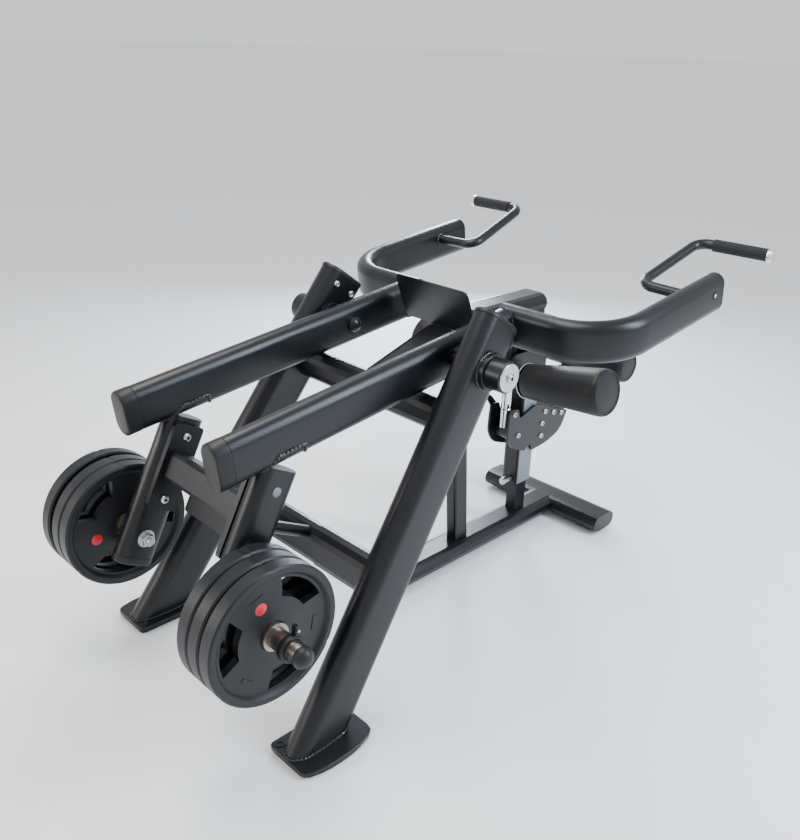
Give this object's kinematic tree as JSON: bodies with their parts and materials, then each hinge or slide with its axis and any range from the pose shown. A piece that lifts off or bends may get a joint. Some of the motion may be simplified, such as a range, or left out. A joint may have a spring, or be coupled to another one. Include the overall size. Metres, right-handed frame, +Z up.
{
  "type": "shoulder press machine",
  "caption": "Plate-loaded lever press machine in black powder coat, with two angled handles, roller pads and rubber weight plates on rear horns.",
  "frame": {"origin": "on the floor, under the middle of the machine's outline", "axes": "+Z up, -Y towards the user's end with the handles, +Y towards the weight plates, X across the machine"},
  "size_m": [1.2026, 1.9166, 1.0668],
  "materials": {
    "black_powder_coat": "satin",
    "black_rubber": "matte",
    "plate_rubber": "satin",
    "black_plastic": "matte",
    "grey_nylon": "satin",
    "zinc_steel": "satin",
    "chrome": "polished",
    "sleeve_steel": "satin",
    "black_vinyl": "satin",
    "grip_foam": "matte"
  },
  "bodies": {
    "frame": {"post_left": "black_powder_coat", "post_right": "black_powder_coat", "post_cap_left": "black_powder_coat", "post_cap_right": "black_powder_coat", "cross_stub_left": "black_powder_coat", "cross_stub_right": "black_powder_coat", "cross_beam": "black_powder_coat", "upper_cross_tube": "black_powder_coat", "foot_bar": "black_powder_coat", "base_beam": "black_powder_coat", "top_beam": "black_powder_coat", "center_beam_rear": "black_powder_coat", "rear_upright": "black_powder_coat", "front_upright": "black_powder_coat", "guard_plate": "black_powder_coat", "roller_holder": "black_powder_coat", "gas_spring_body": "black_powder_coat", "foot_pad_left": "black_rubber", "foot_pad_right": "black_rubber", "foot_bar_pad_left": "black_rubber", "foot_bar_pad_right": "black_rubber", "stop_bumper_left": "black_rubber", "stop_bumper_right": "black_rubber", "top_beam_cap": "black_plastic", "guide_strip_left": "grey_nylon", "guide_strip_right": "grey_nylon", "stop_pin": "zinc_steel"},
    "lever_assembly": {"lever_left": "black_powder_coat", "lever_right": "black_powder_coat", "arm_left": "black_powder_coat", "arm_right": "black_powder_coat", "hanger_left": "black_powder_coat", "hanger_right": "black_powder_coat", "link_tube": "black_powder_coat", "pivot_shaft_left": "black_powder_coat", "pivot_shaft_right": "black_powder_coat", "grip_left": "grip_foam", "grip_right": "grip_foam", "horn_left": "sleeve_steel", "horn_right": "sleeve_steel", "spring_collar_left": "black_plastic", "spring_collar_right": "black_plastic", "weight_plate_left_1": "plate_rubber", "weight_plate_left_2": "plate_rubber", "weight_plate_left_3": "plate_rubber", "weight_plate_right_1": "plate_rubber", "weight_plate_right_2": "plate_rubber", "weight_plate_right_3": "plate_rubber"},
    "carriage": {"carriage_plate_left": "black_powder_coat", "carriage_plate_right": "black_powder_coat", "carriage_spacer": "black_powder_coat", "guide_wheel_1": "black_plastic", "guide_wheel_2": "black_plastic", "pad_arm": "black_powder_coat", "front_pad": "black_vinyl", "gas_spring_rod": "chrome"},
    "release": {"release_lever": "black_powder_coat"},
    "roller_left": {"roller_pad_left": "black_vinyl"},
    "roller_right": {"roller_pad_right": "black_vinyl"}
  },
  "joints": [
    {"name": "lever_swing", "type": "hinge", "parent": "frame", "child": "lever_assembly", "pos_m": [0, 0.06534, 0.842], "axis": [1, 0, 0], "range_deg": [0, 50]},
    {"name": "carriage_height", "type": "slide", "parent": "frame", "child": "carriage", "axis": [0, 0, 1], "range_m": [-0.15, 0.025]},
    {"name": "release_pull", "type": "hinge", "parent": "carriage", "child": "release", "pos_m": [0.054, -0.50666, 0.44], "axis": [1, 0, 0], "range_deg": [-15, 0], "stiffness_Nm_per_rad": 5, "springref_deg": 2.86},
    {"name": "roller_left_spin", "type": "hinge", "parent": "frame", "child": "roller_left", "pos_m": [-0.087, -0.46366, 0.61], "axis": [-0.9881, 0, 0.1536], "continuous": true},
    {"name": "roller_right_spin", "type": "hinge", "parent": "frame", "child": "roller_right", "pos_m": [0.087, -0.46366, 0.61], "axis": [0.9881, 0, 0.1536], "continuous": true}
  ]
}
